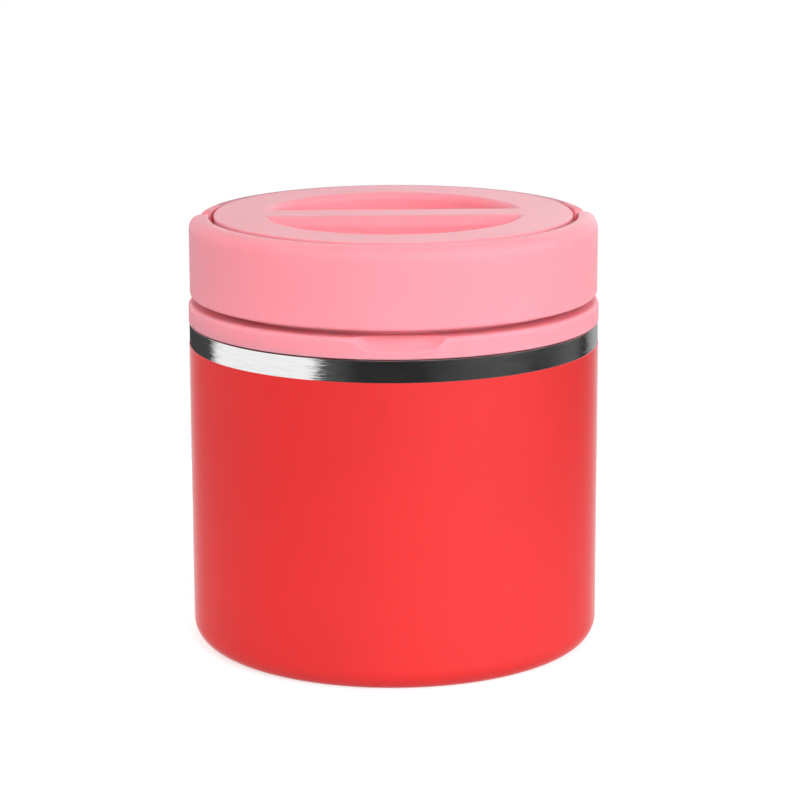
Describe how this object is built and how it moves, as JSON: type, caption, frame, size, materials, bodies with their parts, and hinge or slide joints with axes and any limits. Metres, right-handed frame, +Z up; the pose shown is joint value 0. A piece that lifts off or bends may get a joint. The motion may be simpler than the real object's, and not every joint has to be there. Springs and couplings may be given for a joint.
{
  "type": "insulated food jar",
  "caption": "Squat double-walled steel food jar, coated side, bare steel band, screw lid with a grip bar in its top and a carry handle that swings up from round the lid.",
  "frame": {"origin": "centre of the foot ring, on the surface the jar stands on", "axes": "+Z up along the jar's axis; the handle lies round the front, towards -Y; the handle's pivots are on the X side"},
  "size_m": [0.106, 0.106, 0.1123],
  "materials": {
    "brushed_steel": "brushed round the body",
    "powder_coat": "fine-textured satin powder coat, coral red",
    "liner_steel": "electropolished satin",
    "plain_steel": "plain mill finish",
    "seal_glass": "fused sealing glass",
    "getter_metal": "sintered metal powder",
    "base_steel": "spun, with a fine circular grain",
    "silicone": "matt food-grade silicone",
    "lid_plastic": "fine satin moulded polypropylene, pink",
    "disc_plastic": "fine satin moulded polypropylene, pink",
    "plug_plastic": "satin moulded polypropylene, off-white",
    "foam": "closed-cell foam",
    "handle_plastic": "fine satin moulded polypropylene, pink",
    "pin_steel": "ground pin"
  },
  "bodies": {
    "jar": {"outer_shell": "brushed_steel", "powder_coat": "powder_coat", "inner_liner": "liner_steel", "vacuum_base": "plain_steel", "seal_bead": "seal_glass", "getter": "getter_metal", "getter_clip": "plain_steel", "base_cover": "base_steel"},
    "seal": {"lid_gasket": "silicone"},
    "lid": {"lid_shell": "lid_plastic", "grip_disc": "disc_plastic", "lid_plug": "plug_plastic", "lid_foam": "foam"},
    "handle": {"handle_band": "handle_plastic", "handle_pin_left": "pin_steel", "handle_pin_right": "pin_steel"}
  },
  "joints": [
    {"name": "lid_rise", "type": "slide", "parent": "jar", "child": "seal", "axis": [0, 0, 1], "range_m": [0, 0.0301]},
    {"name": "lid_turn", "type": "hinge", "parent": "seal", "child": "lid", "pos_m": [0, 0, 0.0977], "axis": [0, 0, 1], "range_deg": [0, 1200]},
    {"name": "handle_swing", "type": "hinge", "parent": "lid", "child": "handle", "pos_m": [0, 0, 0.106], "axis": [-1, 0, 0], "range_deg": [0, 90]}
  ],
  "couplings": [
    {"joint": "lid_rise", "follows": "lid_turn", "m_per_rad": 0.0014324}
  ]
}
